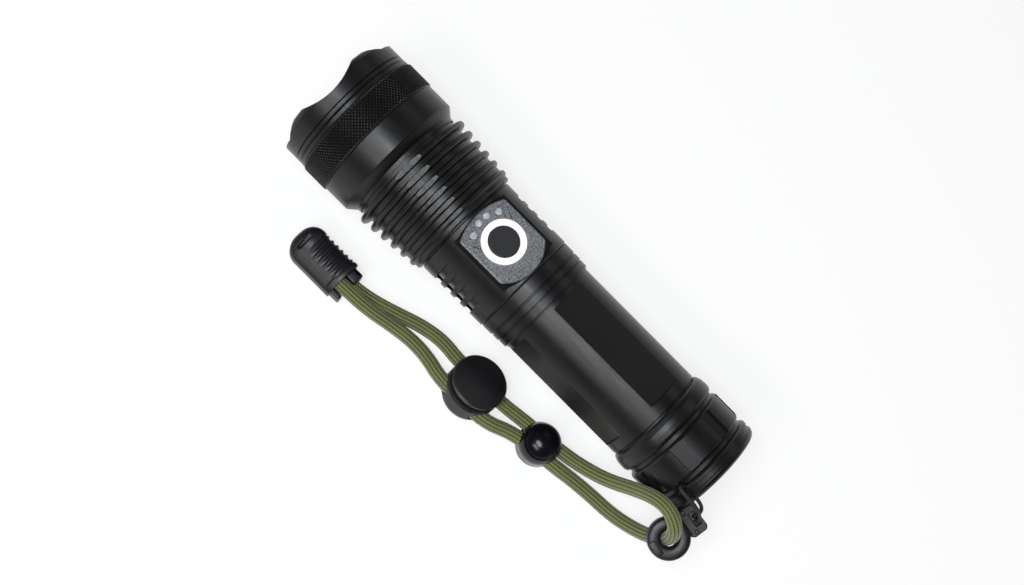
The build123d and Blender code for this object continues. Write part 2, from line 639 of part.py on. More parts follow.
with BuildPart() as ball_lock_spring:
    coil_spring(BALL.offset(-3.95), 3.2, 3.2, 1.1, 2, 0.2)
finish(ball_lock_spring, "ball_lock_spring")

# End clip: two moulded halves, split at mid height, closed on the two cut ends of the cord.
CLIP_X = (34.2, 56.2)
CLIP_BODY_X = 37.6
CLIP_Y = 33.5
CLIP_WIDE = 12.2
CLIP_HIGH = 9.2
CLIP_SPLIT = 4.3
CLIP_STRANDS = ((32.3, 2.5), (34.9, 5.95))
CLIP_END_X = 41.0        # where the strands stop inside the clip


def clip_half(low, high):
    """One half of the end clip between two heights, with the strands' channel cut out of it."""
    far_r = 4.8
    body_mid = (CLIP_BODY_X + CLIP_X[1]) / 2
    with BuildSketch(Plane.XY.offset(low)) as outline:
        with Locations((body_mid - far_r / 2, CLIP_Y)):
            Rectangle(CLIP_X[1] - CLIP_BODY_X - far_r, CLIP_WIDE)
        with Locations((CLIP_X[1] - far_r, CLIP_Y)):
            Rectangle(2 * far_r, CLIP_WIDE - 2 * far_r)
        for side in (-1, 1):
            with Locations((CLIP_X[1] - far_r, CLIP_Y + side * (CLIP_WIDE / 2 - far_r))):
                Circle(far_r)
        with Locations(((CLIP_X[0] + CLIP_BODY_X) / 2 + 0.4, CLIP_Y)):
            Rectangle(CLIP_BODY_X - CLIP_X[0] + 0.8, CLIP_WIDE - 2.2)
    extrude(outline.sketch, amount=high - low)
    with BuildSketch(Plane.YZ.offset(CLIP_X[0] - 1)) as channel:
        for strand in CLIP_STRANDS:
            with Locations(strand):
                Circle(HOLE_R)
        with Locations(((CLIP_STRANDS[0][0] + CLIP_STRANDS[1][0]) / 2, 4.2)):
            Rectangle(2.6, 3.0)
    extrude(channel.sketch, amount=CLIP_END_X - CLIP_X[0] + 1.2, mode=Mode.SUBTRACT)


with BuildPart() as cord_end_base:
    clip_half(0.05, CLIP_SPLIT)
finish(cord_end_base, "cord_end_base")

with BuildPart() as cord_end_lid:
    clip_half(CLIP_SPLIT, CLIP_HIGH)
finish(cord_end_lid, "cord_end_lid")

# Connector: an eye that the cord is threaded through, and a tab that the string is tied to.
EYE_AT = Vector(-80.8, 22.5, 20.0)
EYE_R = (2.85, 6.35)
CONNECTOR_THICK = 3.4
TAB_X = (5.6, 11.2)      # along the connector, from the eye's centre
TAB_WIDE = 8.7
along = Vector(-1.5, -10.2, 3.0).normalized()
CONNECTOR = Plane(origin=EYE_AT, x_dir=along, z_dir=Vector(0, 0, 1) - along * along.Z)

with BuildPart() as connector_eye:
    with BuildSketch(CONNECTOR.offset(-CONNECTOR_THICK / 2)):
        Circle(EYE_R[1])
        with Locations((TAB_X[0] - 1.4, 0)):
            Rectangle(4.4, 8.4)
        Circle(EYE_R[0], mode=Mode.SUBTRACT)
    extrude(amount=CONNECTOR_THICK)
    with BuildSketch(CONNECTOR.offset(-0.9)):
        with Locations((6.2, 0)):
            Rectangle(2.6, 6.0)
    extrude(amount=1.8, mode=Mode.SUBTRACT)
finish(connector_eye, "connector_eye")

with BuildPart() as connector_tab:
    with BuildSketch(CONNECTOR.offset(-1.4)):
        with Locations(((6.5 + TAB_X[1]) / 2, 0)):
            RectangleRounded(TAB_X[1] - 6.5, TAB_WIDE, 0.8)
        with Locations((TAB_X[1] - 1.9, 0)):
            SlotOverall(4.0, 1.8, rotation=90, mode=Mode.SUBTRACT)
    extrude(amount=2.8)
    with BuildSketch(CONNECTOR.offset(-0.8)):
        with Locations((5.8, 0)):
            Rectangle(1.6, 5.8)
    extrude(amount=1.6)
finish(connector_tab, "connector_tab")


# Cord: one length from the end clip, through both locks, round through the eye and back.
def on_plane(base, x, across, up):
    """Point of a lock's own frame."""
    return base.origin + base.x_dir * x + base.y_dir * across + base.z_dir * up


CORD_POINTS = [
    (CLIP_END_X, *CLIP_STRANDS[0]), (34.0, 32.1, 2.5), (26.5, 30.6, 2.35), (19.0, 28.1, 2.25),
    (12.0, 25.6, 2.3), (4.5, 24.5, 3.3),
    on_plane(TOGGLE, 8.6, -TOGGLE_STRAND[0], TOGGLE_STRAND[1]),
    on_plane(TOGGLE, -8.6, -TOGGLE_STRAND[0], TOGGLE_STRAND[1]),
    on_plane(BALL, 7.4, -BALL_STRAND[0], BALL_STRAND[1]),
    on_plane(BALL, -7.4, -BALL_STRAND[0], BALL_STRAND[1]),
    (-52.0, 22.0, 7.2), (-58.5, 20.9, 12.0), (-64.0, 19.4, 19.5), (-68.4, 18.9, 27.0),
    (-73.0, 19.0, 30.2), (-77.9, 20.6, 29.2), (-80.6, 22.1, 24.6), (-80.7, 22.7, 17.0),
    (-79.3, 23.2, 11.5), (-74.5, 24.2, 6.0), (-67.0, 25.2, 2.7), (-58.5, 25.5, 2.4),
    (-51.0, 26.6, 4.2),
    on_plane(BALL, -7.4, BALL_STRAND[0], BALL_STRAND[1]),
    on_plane(BALL, 7.4, BALL_STRAND[0], BALL_STRAND[1]),
    on_plane(TOGGLE, -8.6, TOGGLE_STRAND[0], TOGGLE_STRAND[1]),
    on_plane(TOGGLE, 8.6, TOGGLE_STRAND[0], TOGGLE_STRAND[1]),
    (4.0, 32.0, 6.0), (11.0, 31.0, 3.3), (18.5, 32.1, 3.4), (26.0, 34.0, 4.9), (34.0, 34.8, 5.9),
    (CLIP_END_X, *CLIP_STRANDS[1]),
]
with BuildPart() as lanyard_cord:
    cord_tube(CORD_POINTS, CORD_R, "lanyard_cord")
finish(lanyard_cord, "lanyard_cord")


# String: up from the tab, through the tail cap's hole, back over the flange's rim and down again.
def at_turn(x, radius):
    """Point at the lanyard hole's angle about the axis."""
    return (x, radius * sin(radians(LOOP_HOLE_TURN)), AXIS_Z + radius * cos(radians(LOOP_HOLE_TURN)))


TAB_SLOT = TAB_X[1] - 1.9
STRING_POINTS = [
    on_plane(CONNECTOR, TAB_SLOT, 0.65, -1.6), on_plane(CONNECTOR, TAB_SLOT + 0.1, 0.75, 1.5),
    (-81.2, 12.3, 28.4), at_turn(-78.6, LOOP_HOLE_AT_R - 0.1), at_turn(-71.35, LOOP_HOLE_AT_R),
    at_turn(-71.45, 18.3), at_turn(-78.3, 18.4), (-81.9, 14.2, 29.0),
    on_plane(CONNECTOR, TAB_SLOT + 0.1, -0.85, 1.6), on_plane(CONNECTOR, TAB_SLOT, -0.65, -1.6),
]
with BuildPart() as string_loop:
    cord_tube(STRING_POINTS, STRING_R, "string_loop")
finish(string_loop, "string_loop")
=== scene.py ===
import json
import math
import bmesh
import bpy
from mathutils import Matrix, Vector


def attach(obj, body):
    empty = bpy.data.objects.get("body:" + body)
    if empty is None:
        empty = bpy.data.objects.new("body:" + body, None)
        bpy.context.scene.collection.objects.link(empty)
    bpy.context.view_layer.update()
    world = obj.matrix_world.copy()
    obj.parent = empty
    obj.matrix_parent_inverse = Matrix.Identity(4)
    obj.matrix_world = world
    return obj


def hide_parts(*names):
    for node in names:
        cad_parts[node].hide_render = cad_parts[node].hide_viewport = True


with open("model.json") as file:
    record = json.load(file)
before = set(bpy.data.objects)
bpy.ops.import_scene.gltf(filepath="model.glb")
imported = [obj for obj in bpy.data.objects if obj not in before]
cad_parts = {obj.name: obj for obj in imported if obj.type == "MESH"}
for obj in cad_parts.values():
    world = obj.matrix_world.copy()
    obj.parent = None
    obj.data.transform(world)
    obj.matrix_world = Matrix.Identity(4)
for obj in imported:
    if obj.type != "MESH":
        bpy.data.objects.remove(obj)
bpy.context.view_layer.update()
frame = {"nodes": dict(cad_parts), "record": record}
scene = bpy.context.scene

# Lengths below are in mm, in the CAD's frame, and MM turns them into metres.
MM = 0.001
AXIS_Z = 21.1            # height of the flashlight's axis
FLOOR_Z = -0.35          # just under the knurl's lowest peaks

# ---------------------------------------------------------------- camera
ELEVATION, AZIMUTH, ROLL = (math.radians(a) for a in (72.9, 180.4, 44.8))
TARGET = Vector((0.26, 4.3, 21.1)) * MM
DISTANCE = 436.5 * MM
FOCAL_LENGTH, SENSOR_WIDTH = 53.33, 36
back = Vector((math.sin(AZIMUTH) * math.cos(ELEVATION), -math.cos(AZIMUTH) * math.cos(ELEVATION),
               math.sin(ELEVATION)))
level = Vector((math.cos(AZIMUTH), math.sin(AZIMUTH), 0))
upward = back.cross(level)
right = level * math.cos(ROLL) + upward * math.sin(ROLL)
above = upward * math.cos(ROLL) - level * math.sin(ROLL)
lens_data = bpy.data.cameras.new("camera")
lens_data.sensor_fit = "HORIZONTAL"
lens_data.sensor_width = SENSOR_WIDTH
lens_data.lens = FOCAL_LENGTH
lens_data.clip_start = 0.01
camera = bpy.data.objects.new("camera", lens_data)
turned = Matrix((right, above, back)).transposed().to_4x4()
camera.matrix_world = Matrix.Translation(TARGET + back * DISTANCE) @ turned
scene.collection.objects.link(camera)
scene.camera = camera


# ---------------------------------------------------------------- material helpers
def shader(name, **values):
    """New material; values go straight onto its Principled sockets."""
    made = bpy.data.materials.new(name)
    made.use_nodes = True
    surface = made.node_tree.nodes["Principled BSDF"]
    for key, value in values.items():
        socket = surface.inputs[key.replace("_", " ")]
        socket.default_value = (*value, 1) if isinstance(value, tuple) else value
    return made, made.node_tree.nodes, made.node_tree.links, surface


def add_noise(nodes, links, coords, scale, detail=3.0, stretch=None):
    """Noise over the object's own coordinates, at a scale in cycles per metre, may be stretched."""
    if stretch is not None:
        mapping = nodes.new("ShaderNodeMapping")
        mapping.inputs["Scale"].default_value = stretch
        links.new(coords, mapping.inputs["Vector"])
        coords = mapping.outputs["Vector"]
    noise = nodes.new("ShaderNodeTexNoise")
    noise.inputs["Scale"].default_value = scale
    noise.inputs["Detail"].default_value = detail
    links.new(coords, noise.inputs["Vector"])
    return noise.outputs["Fac"]


def add_range(nodes, links, source, low, high, start=0.3, stop=0.7):
    """The source remapped from start..stop to low..high."""
    ranged = nodes.new("ShaderNodeMapRange")
    for key, value in (("From Min", start), ("From Max", stop), ("To Min", low), ("To Max", high)):
        ranged.inputs[key].default_value = value
    links.new(source, ranged.inputs["Value"])
    return ranged.outputs["Result"]


def add_bump(nodes, links, surface, layers):
    """Stack of bumps: (height output, strength, depth in metres)."""
    normal = None
    for height, strength, depth in layers:
        bump = nodes.new("ShaderNodeBump")
        bump.inputs["Strength"].default_value = strength
        bump.inputs["Distance"].default_value = depth
        links.new(height, bump.inputs["Height"])
        if normal is not None:
            links.new(normal, bump.inputs["Normal"])
        normal = bump.outputs["Normal"]
    links.new(normal, surface.inputs["Normal"])


def add_tint(nodes, links, source, dark, light, target, start=0.3, stop=0.7):
    """The source blends two colours into a socket as it goes from start to stop."""
    ramp = nodes.new("ShaderNodeValToRGB")
    for step, colour, place in zip(ramp.color_ramp.elements, (dark, light), (start, stop)):
        step.color = (*colour, 1)
        step.position = place
    links.new(source, ramp.inputs["Fac"])
    links.new(ramp.outputs["Color"], target)


def finish_of(name, dark, light, rough, grain, depth, strength=0.3, cloud=60.0, stretch=None,
              **values):
    """Material with clouded colour and roughness over a fine grain; grain and depth in mm."""
    made, nodes, links, surface = shader(name, **values)
    coords = nodes.new("ShaderNodeTexCoord").outputs["Object"]
    clouds = add_noise(nodes, links, coords, cloud, 4.0)
    fine = add_noise(nodes, links, coords, 1000.0 / grain, 2.0, stretch)
    add_tint(nodes, links, clouds, dark, light, surface.inputs["Base Color"])
    links.new(add_range(nodes, links, clouds, *rough), surface.inputs["Roughness"])
    add_bump(nodes, links, surface, [(fine, strength, depth * MM)])
    return made


def anodised(name, dark, light, rough, rings):
    """Black anodised aluminium: blasted grain with faint turning marks across the axis."""
    made, nodes, links, surface = shader(name, Metallic=0.0)
    surface.inputs["Specular IOR Level"].default_value = 0.32
    coords = nodes.new("ShaderNodeTexCoord").outputs["Object"]
    clouds = add_noise(nodes, links, coords, 45.0, 4.0)
    grain = add_noise(nodes, links, coords, 5200.0, 2.0)
    wear = add_noise(nodes, links, coords, 900.0, 5.0, (0.12, 1, 1))
    marks = nodes.new("ShaderNodeTexWave")
    marks.bands_direction = "X"
    marks.inputs["Scale"].default_value = 900.0
    marks.inputs["Distortion"].default_value = 0.6
    links.new(coords, marks.inputs["Vector"])
    add_tint(nodes, links, clouds, dark, light, surface.inputs["Base Color"])
    links.new(add_range(nodes, links, wear, *rough), surface.inputs["Roughness"])
    add_bump(nodes, links, surface, [(grain, 0.35, 0.03 * MM), (marks.outputs["Fac"], rings, 0.01 * MM)])
    return made


MATERIALS = {
    "anodised_black": anodised(
        "black_anodised", (0.0035, 0.0036, 0.004), (0.0065, 0.0066, 0.0072), (0.30, 0.40), 0.2),
    "lens_glass": shader(
        "clear_lens", Base_Color=(0.97, 0.985, 1.0), Roughness=0.02, IOR=1.49,
        Transmission_Weight=1.0)[0],
    "black_rubber": finish_of(
        "black_rubber", (0.010, 0.010, 0.010), (0.022, 0.022, 0.022), (0.5, 0.75), 0.25, 0.03),
    "board_copper": finish_of(
        "led_star_board", (0.70, 0.71, 0.69), (0.80, 0.81, 0.79), (0.3, 0.5), 0.5, 0.01),
    "led_yellow": finish_of(
        "phosphor", (0.80, 0.62, 0.06), (0.90, 0.74, 0.14), (0.5, 0.7), 0.15, 0.02),
    # Painted glow: the white ring is given emission, so it shines though it is no lamp.
    "white_plastic": finish_of(
        "white_ring_painted_glow", (0.92, 0.92, 0.93), (0.97, 0.97, 0.98), (0.18, 0.30), 0.4, 0.01,
        Emission_Color=(1.0, 1.0, 1.0), Emission_Strength=0.55),
    "steel": finish_of(
        "bright_steel", (0.50, 0.50, 0.51), (0.64, 0.64, 0.65), (0.18, 0.34), 0.3, 0.01,
        Metallic=1.0),
    "board_green": finish_of(
        "board_green", (0.010, 0.10, 0.035), (0.018, 0.15, 0.055), (0.3, 0.5), 0.8, 0.03,
        cloud=900.0),
    "grained_plate": finish_of(
        "speckled_plate", (0.062, 0.065, 0.072), (0.29, 0.295, 0.31), (0.32, 0.5), 0.16, 0.09,
        strength=1.0, cloud=1900.0, stretch=(0.35, 1, 1), Metallic=0.4),
    "dark_rubber": finish_of(
        "pad_rubber", (0.010, 0.011, 0.013), (0.017, 0.018, 0.021), (0.52, 0.68), 0.14, 0.04,
        cloud=2600.0),
    "indicator_plastic": finish_of(
        "lamp_dome", (0.32, 0.36, 0.42), (0.60, 0.64, 0.70), (0.10, 0.22), 0.3, 0.006,
        cloud=700.0, Coat_Weight=0.6),
    "dark_plastic": finish_of(
        "chip_plastic", (0.018, 0.018, 0.018), (0.032, 0.032, 0.032), (0.4, 0.6), 0.2, 0.02),
    "brass": finish_of(
        "gilt_brass", (0.68, 0.48, 0.17), (0.80, 0.60, 0.26), (0.18, 0.35), 0.3, 0.01,
        Metallic=1.0),
    "cell_wrap": finish_of(
        "cell_wrap", (0.030, 0.11, 0.34), (0.045, 0.15, 0.42), (0.16, 0.28), 1.2, 0.05,
        Coat_Weight=0.5),
    "matte_plastic": finish_of(
        "soft_matte_plastic", (0.005, 0.005, 0.006), (0.009, 0.009, 0.011), (0.40, 0.52), 0.13, 0.03,
        cloud=90.0),
    "gloss_plastic": finish_of(
        "glossy_plastic", (0.004, 0.003, 0.005), (0.007, 0.006, 0.009), (0.15, 0.24), 1.4, 0.01,
        Specular_IOR_Level=0.3),
    "grey_plastic": finish_of(
        "moulded_plastic", (0.006, 0.006, 0.008), (0.011, 0.011, 0.014), (0.34, 0.46), 0.22, 0.03,
        cloud=240.0, Specular_IOR_Level=0.4),
    "brown_plastic": finish_of(
        "tab_plastic", (0.016, 0.012, 0.010), (0.026, 0.020, 0.017), (0.50, 0.65), 0.2, 0.03,
        cloud=240.0),
    "black_string": finish_of(
        "braided_string", (0.008, 0.008, 0.011), (0.020, 0.020, 0.025), (0.5, 0.8), 0.18, 0.08,
        cloud=2500.0, strength=0.8),
}


def paracord():
    """Olive braid: the colour follows the braid's own relief, with painted shade in the gaps between
    strands and painted highlight on the crests, over fibres and slow fading.
    """
    made, nodes, links, surface = shader("olive_braid", Sheen_Weight=0.35, Roughness=0.72)
    surface.inputs["Specular IOR Level"].default_value = 0.3
    coords = nodes.new("ShaderNodeTexCoord").outputs["Object"]
    relief = nodes.new("ShaderNodeAttribute")
    relief.attribute_name = "relief"
    fibres = add_noise(nodes, links, coords, 5200.0, 2.0)
    fade = add_noise(nodes, links, coords, 160.0, 3.0)
    height = relief.outputs["Fac"]
    for extra, share in ((fibres, 0.35), (fade, 0.25)):
        total = nodes.new("ShaderNodeMath")
        total.operation = "MULTIPLY_ADD"
        total.inputs[1].default_value = share
        links.new(extra, total.inputs[0])
        links.new(height, total.inputs[2])
        height = total.outputs["Value"]
    # Painted light: the gaps between strands are coloured dark as shade and the crests light as
    # highlight.
    gap_painted_shade, middle, crest_painted_highlight = (0.010, 0.012, 0.0035), (0.070, 0.082, 0.022), (0.175, 0.190, 0.068)
    ramp = nodes.new("ShaderNodeValToRGB")
    steps = ramp.color_ramp.elements
    steps[0].position, steps[0].color = 0.28, (*gap_painted_shade, 1)
    steps[1].position, steps[1].color = 0.97, (*crest_painted_highlight, 1)
    steps.new(0.68).color = (*middle, 1)
    links.new(height, ramp.inputs["Fac"])
    links.new(ramp.outputs["Color"], surface.inputs["Base Color"])
    add_bump(nodes, links, surface, [(fibres, 0.5, 0.05 * MM)])
    return made


MATERIALS["olive_cord"] = paracord()

for row in frame["record"]["subparts"]:
    node = frame["nodes"][row["node"]]
    node.data.materials.clear()
    node.data.materials.append(MATERIALS[row["material_slot"]])


# ---------------------------------------------------------------- mesh helpers
def make_piece(name, points, faces, slot, body, smooth=True):
    """Mesh piece from points in mm, with its finish, that rides on a body."""
    mesh = bpy.data.meshes.new(name)
    mesh.from_pydata([Vector(p) * MM for p in points], [], faces)
    mesh.validate()
    mesh.polygons.foreach_set("use_smooth", [smooth] * len(mesh.polygons))
    mesh.materials.append(MATERIALS[slot])
    piece = bpy.data.objects.new(name, mesh)
    scene.collection.objects.link(piece)
    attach(piece, body)
    return piece


def tube_faces(rings, around, wrap=False):
    """Quads between rings of points; wrap closes the last ring onto the first."""
    faces = []
    for i in range(rings if wrap else rings - 1):
        for j in range(around):
            a, b = i * around + j, i * around + (j + 1) % around
            c, d = ((i + 1) % rings) * around + (j + 1) % around, ((i + 1) % rings) * around + j
            faces.append((a, b, c, d))
    return faces


# ---------------------------------------------------------------- cords
# Frames of the pieces on the lanyard: origin, then the directions of x, across and up.
TOGGLE_LEAN = math.radians(20)
TOGGLE = ((-11.6, 29.6, 7.62), (1, 0, 0), (0, math.cos(TOGGLE_LEAN), math.sin(TOGGLE_LEAN)),
          (0, -math.sin(TOGGLE_LEAN), math.cos(TOGGLE_LEAN)))
BALL_YAW = math.radians(5.2)
BALL = ((-36.75, 26.6, 6.25), (math.cos(BALL_YAW), math.sin(BALL_YAW), 0),
        (-math.sin(BALL_YAW), math.cos(BALL_YAW), 0), (0, 0, 1))
along = Vector((-1.5, -10.2, 3.0)).normalized()
lift = (Vector((0, 0, 1)) - along * along.z).normalized()
CONNECTOR = ((-80.8, 22.5, 20.0), along, lift.cross(along), lift)
CORD_R, STRING_R = 2.1, 0.55
LOOP_HOLE_TURN = math.radians(49)        # where the string leaves the cap, from the top


def on(base, x, across, up):
    """Point given in a frame's own directions, in mm."""
    origin, x_dir, y_dir, z_dir = (Vector(v) for v in base)
    return origin + x_dir * x + y_dir * across + z_dir * up


def route(name, points):
    """The cord's own line: a NURBS spline through its listed control points."""
    curve = bpy.data.curves.new(name, "CURVE")
    curve.dimensions = "3D"
    curve.resolution_u = 24
    spline = curve.splines.new("NURBS")
    spline.points.add(len(points) - 1)
    for knot, point in zip(spline.points, points):
        knot.co = (*(Vector(point) * MM), 1)
    spline.order_u = 3
    spline.use_endpoint_u = True
    holder = bpy.data.objects.new(name, curve)
    scene.collection.objects.link(holder)
    line = bpy.data.meshes.new_from_object(holder)
    path = [v.co / MM for v in line.vertices]
    bpy.data.meshes.remove(line)
    bpy.data.objects.remove(holder)
    return path


def braided(name, path, wire_r, around, carriers, cell, relief, slot, body):
    """Braided tube along a path: lengthwise ribs whose stitches slant each way in turn."""
    side = (path[1] - path[0]).orthogonal().normalized()
    points, heights = [], []
    run = 0.0
    for i, point in enumerate(path):
        ahead = (path[min(i + 1, len(path) - 1)] - path[max(i - 1, 0)]).normalized()
        side = (side - ahead * side.dot(ahead)).normalized()
        third = ahead.cross(side)
        run += (point - path[i - 1]).length if i else 0.0
        for j in range(around):
            turn = math.tau * j / around
            across = carriers * j / around
            rib, place = math.floor(across), across % 1
            slant = 0.5 * place if rib % 2 else -0.5 * place
            stitch = abs(math.sin(math.pi * (run / cell + slant)))
            height = math.sin(math.pi * place) ** 0.7 * (0.5 + 0.5 * stitch)
            out = side * math.cos(turn) + third * math.sin(turn)
            points.append(point + out * (wire_r - relief * 0.5 + relief * height))
            heights.append(height)
    faces = tube_faces(len(path), around)
    faces.append(tuple(reversed(range(around))))
    faces.append(tuple(range((len(path) - 1) * around, len(path) * around)))
    piece = make_piece(name, points, faces, slot, body)
    # The heights are kept as a layer that the braid's material uses to paint shade in the gaps and
    # highlight on the crests.
    layer = piece.data.attributes.new("relief", "FLOAT", "POINT")
    layer.data.foreach_set("value", heights)
    return piece


# From the end clip through both locks to the connector's eye, and back.
CORD_POINTS = [
    (41, 32.3, 2.5), (34, 32.1, 2.5), (26.5, 30.6, 2.35), (19, 28.1, 2.25), (12, 25.6, 2.3),
    (4.5, 24.5, 3.3),
    on(TOGGLE, 8.6, -4.5, -1.2), on(TOGGLE, -8.6, -4.5, -1.2),
    on(BALL, 7.4, -2.3, 0.6), on(BALL, -7.4, -2.3, 0.6),
    (-52, 22, 7.2), (-58.5, 20.9, 12), (-64, 19.4, 19.5), (-68.4, 18.9, 27), (-73, 19, 30.2),
    (-77.9, 20.6, 29.2),
    (-80.6, 22.1, 24.6), (-80.7, 22.7, 17), (-79.3, 23.2, 11.5), (-74.5, 24.2, 6), (-67, 25.2, 2.7),
    (-58.5, 25.5, 2.4), (-51, 26.6, 4.2), on(BALL, -7.4, 2.3, 0.6), on(BALL, 7.4, 2.3, 0.6),
    on(TOGGLE, -8.6, 4.5, -1.2), on(TOGGLE, 8.6, 4.5, -1.2),
    (4, 32, 6), (11, 31, 3.3), (18.5, 32.1, 3.4),
    (26, 34, 4.9), (34, 34.8, 5.9), (41, 34.9, 5.95),
]
cord_path = route("cord_route", CORD_POINTS)
lanyard = braided("olive_lanyard", cord_path, CORD_R, around=72, carriers=12, cell=0.80, relief=0.24,
                  slot="olive_cord", body="cap")
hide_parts("lanyard_cord")


def at_turn(x, radius):
    """Point at the lanyard hole's angle about the flashlight's axis, in mm."""
    return (x, radius * math.sin(LOOP_HOLE_TURN), AXIS_Z + radius * math.cos(LOOP_HOLE_TURN))


# From the connector's tab through the cap's hole, and back.
STRING_POINTS = [
    on(CONNECTOR, 9.3, 0.65, -1.6), on(CONNECTOR, 9.4, 0.75, 1.5), (-81.2, 12.3, 28.4),
    at_turn(-78.6, 15.2),
    at_turn(-71.35, 15.3), at_turn(-71.45, 18.3), at_turn(-78.3, 18.4), (-81.9, 14.2, 29.0),
    on(CONNECTOR, 9.4, -0.85, 1.6), on(CONNECTOR, 9.3, -0.65, -1.6),
]
string_path = route("string_route", STRING_POINTS)
string = braided("black_string", string_path, STRING_R, around=16, carriers=6, cell=0.6, relief=0.08,
                 slot="black_string", body="cap")
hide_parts("string_loop")


# ---------------------------------------------------------------- plates, rings and blocks
def flat_piece(name, base, outline, holes, low, high, bevel, slot, body):
    """Bevelled plate with holes between two heights of a frame; outlines are (x, across), mm."""
    mesh_edit = bmesh.new()
    for loop in (outline, *holes):
        corners = [mesh_edit.verts.new(on(base, x, across, low)) for x, across in loop]
        for one, two in zip(corners, corners[1:] + corners[:1]):
            mesh_edit.edges.new((one, two))
    bmesh.ops.triangle_fill(mesh_edit, use_beauty=True, edges=mesh_edit.edges[:],
                            normal=Vector(base[3]))
    top = bmesh.ops.extrude_face_region(mesh_edit, geom=mesh_edit.faces[:])["geom"]
    top_corners = [part for part in top if isinstance(part, bmesh.types.BMVert)]
    raised_by = Vector(base[3]).normalized() * (high - low)
    bmesh.ops.translate(mesh_edit, verts=top_corners, vec=raised_by)
    bmesh.ops.recalc_face_normals(mesh_edit, faces=mesh_edit.faces[:])
    points = [v.co.copy() for v in mesh_edit.verts]
    mesh_edit.verts.index_update()
    faces = [[v.index for v in face.verts] for face in mesh_edit.faces]
    mesh_edit.free()
    piece = make_piece(name, points, faces, slot, body, smooth=False)
    rounding = piece.modifiers.new("edges", "BEVEL")
    rounding.width = bevel * MM
    rounding.segments = 2
    rounding.angle_limit = math.radians(40)
    return piece


def circle(x, across, radius, count=64):
    """Outline of a circle."""
    turns = [math.tau * i / count for i in range(count)]
    return [(x + radius * math.cos(turn), across + radius * math.sin(turn)) for turn in turns]


def arc(x, half, depth, way, count=24):
    """Shallow arc across the flashlight with its apex at x, bulging forwards or back by way."""
    radius = (half * half + depth * depth) / (2 * depth)
    reach = math.asin(half / radius)
    angles = [way * reach * (1 - 2 * i / count) for i in range(count + 1)]
    middle = radius - depth
    return [(x + way * (radius * math.cos(a) - middle), radius * math.sin(a)) for a in angles]


def ring_piece(name, base, middle_r, half_wide, half_thick, power, slot, body, around=72, section=24):
    """Closed ring whose section is a rectangle, rounded more as power nears 1."""
    points = []
    for i in range(around):
        turn = math.tau * i / around
        for j in range(section):
            c, s = math.cos(math.tau * j / section), math.sin(math.tau * j / section)
            radius = middle_r + half_wide * math.copysign(abs(c) ** power, c)
            points.append(on(base, radius * math.cos(turn), radius * math.sin(turn),
                             half_thick * math.copysign(abs(s) ** power, s)))
    return make_piece(name, points, tube_faces(around, section, wrap=True), slot, body)


# ---------------------------------------------------------------- switch plate, seam and connector
TOP_PLANE = ((0, 0, AXIS_Z), (1, 0, 0), (0, 1, 0), (0, 0, 1))
BUTTON_X, BUTTON_HOLE_R = 11.85, 6.6
LAMP_ARC_R, LAMP_HOLE_R = 8.75, 0.86
LAMP_TURNS = (-36, -10.5, 10.5, 36)
PLATE_HALF_WIDE = 9.2
PLATE_HEIGHTS = (13.65, 14.6)            # above the axis
front_end = arc(20.34, PLATE_HALF_WIDE, 2.46, 1)
rear_end = arc(4.2, PLATE_HALF_WIDE, 4.2, -1)
plate_holes = [circle(BUTTON_X, 0, BUTTON_HOLE_R)]
for lamp_turn in (math.radians(a) for a in LAMP_TURNS):
    plate_holes.append(circle(BUTTON_X + LAMP_ARC_R * math.cos(lamp_turn),
                              LAMP_ARC_R * math.sin(lamp_turn), LAMP_HOLE_R, 24))
plate = flat_piece("grained_plate", TOP_PLANE, front_end + rear_end, plate_holes, *PLATE_HEIGHTS,
                   0.38, "grained_plate", "body")
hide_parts("switch_plate")

# Dark ring set into the narrow gap between the switch housing and the battery tube, as painted shade for
# the gap.
SEAM = ((-0.275, 0, AXIS_Z), (0, 1, 0), (0, 0, 1), (1, 0, 0))
ring_piece("collar_gap_shade", SEAM, 15.9, 0.75, 0.11, 0.8, "black_rubber", "body", around=96, section=12)

eye = ring_piece("connector_ring", CONNECTOR, 4.35, 2.0, 2.35, 0.55, "grey_plastic", "cap")
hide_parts("connector_eye")
tab_outline = [(5.4, -3.6), (6.4, -4.35), (10.4, -4.35), (11.2, -3.4),
               (11.2, 3.4), (10.4, 4.35), (6.4, 4.35), (5.4, 3.6)]
string_slot = [(8.5, -2.0), (10.1, -2.0), (10.1, 2.0), (8.5, 2.0)]
tab = flat_piece("connector_plate", CONNECTOR, tab_outline, [string_slot], -1.4, 1.4, 0.35,
                 "brown_plastic", "cap")
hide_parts("connector_tab")


# ---------------------------------------------------------------- knurled band of the head
def knurl_band(start_x, end_x, base_r, depth, cells_around, cells_along, steps):
    """Diamond knurl in relief: grooves along both diagonals leave raised pyramids."""
    points = []
    columns, rows = cells_around * steps, cells_along * steps
    for i in range(rows + 1):
        margin = min(1.0, i / 2, (rows - i) / 2)
        for j in range(columns):
            u, v = j / steps, i / steps
            groove_one = abs((u + v + 0.5) % 1 - 0.5) * 2
            groove_two = abs((u - v + 0.5) % 1 - 0.5) * 2
            height = min(1.0, 1.5 * min(groove_one, groove_two)) * margin
            turn = math.tau * j / columns
            radius = base_r + depth * height
            points.append((start_x + (end_x - start_x) * i / rows, radius * math.sin(turn),
                           AXIS_Z + radius * math.cos(turn)))
    make_piece("knurl_band", points, tube_faces(rows + 1, columns), "anodised_black", "head",
               smooth=False)


knurl_band(59.15, 67.65, base_r=21.12, depth=0.30, cells_around=112, cells_along=7, steps=6)


